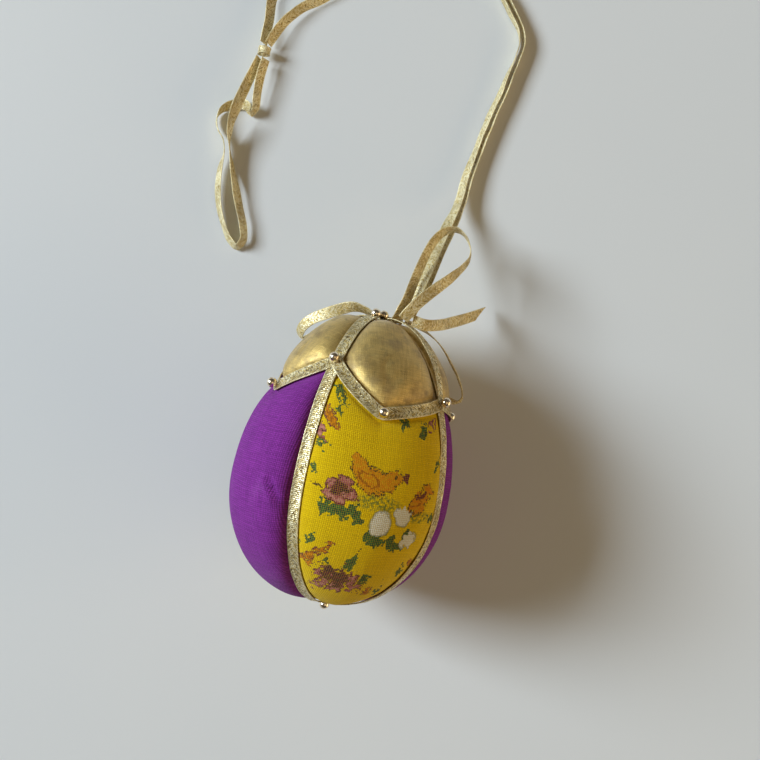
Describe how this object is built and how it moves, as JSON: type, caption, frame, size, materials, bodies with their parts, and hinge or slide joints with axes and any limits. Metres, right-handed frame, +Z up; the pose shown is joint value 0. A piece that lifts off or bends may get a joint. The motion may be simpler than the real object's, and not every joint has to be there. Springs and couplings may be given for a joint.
{
  "type": "padded fabric egg ornament",
  "caption": "Egg-shaped hanging ornament with padded cotton gores, a metallic petal cap, ribbon over its seams, ball-head pins, a bow and a knotted ribbon hanger.",
  "frame": {"origin": "on the surface that the egg rests on, under the middle of the egg without its free ribbons", "axes": "+Z up; +Y along the egg's axis, from the blunt end to the narrow end; +X to the right of the egg seen from above with the narrow end ahead"},
  "size_m": [0.0867, 0.1921, 0.0581],
  "materials": {
    "foam": "white closed-cell craft foam",
    "batting": "white polyester padding",
    "purple_cotton": "plain-weave cotton, matt",
    "yellow_cotton": "plain-weave cotton with a printed pattern, matt",
    "metallic_cloth": "gold metallic cloth, satin, a little tarnished",
    "gold_ribbon": "woven metallic ribbon, glittering",
    "pin_metal": "polished brass-coloured ball heads"
  },
  "bodies": {
    "root": {"foam_core": "foam", "front_yellow_gore": "yellow_cotton", "right_purple_gore": "purple_cotton", "back_yellow_gore": "yellow_cotton", "left_purple_gore": "purple_cotton", "front_yellow_batting": "batting", "right_purple_batting": "batting", "back_yellow_batting": "batting", "left_purple_batting": "batting", "front_cap_petal": "metallic_cloth", "right_cap_petal": "metallic_cloth", "back_cap_petal": "metallic_cloth", "left_cap_petal": "metallic_cloth", "front_cap_batting": "batting", "right_cap_batting": "batting", "back_cap_batting": "batting", "left_cap_batting": "batting", "seam_ribbon_front_left": "gold_ribbon", "seam_ribbon_front_right": "gold_ribbon", "seam_ribbon_back_right": "gold_ribbon", "seam_ribbon_back_left": "gold_ribbon", "crown_ribbon_front_left": "gold_ribbon", "crown_ribbon_front_right": "gold_ribbon", "crown_ribbon_back_right": "gold_ribbon", "crown_ribbon_back_left": "gold_ribbon", "hem_ribbon_front": "gold_ribbon", "hem_ribbon_right": "gold_ribbon", "hem_ribbon_back": "gold_ribbon", "hem_ribbon_left": "gold_ribbon", "tip_pin_front": "pin_metal", "tip_pin_right": "pin_metal", "tip_pin_back": "pin_metal", "tip_pin_left": "pin_metal", "corner_pin_front_left": "pin_metal", "corner_pin_front_right": "pin_metal", "corner_pin_back_right": "pin_metal", "corner_pin_back_left": "pin_metal", "crown_pin_upper": "pin_metal", "crown_pin_lower": "pin_metal", "base_pin": "pin_metal", "bow_knot": "gold_ribbon", "bow_loop_upper": "gold_ribbon", "bow_loop_left": "gold_ribbon", "bow_tail_side": "gold_ribbon", "bow_tail_end": "gold_ribbon", "hanger_strand_inner": "gold_ribbon", "hanger_strand_outer": "gold_ribbon", "hanger_knot": "gold_ribbon", "hanging_loop": "gold_ribbon"}
  },
  "joints": []
}
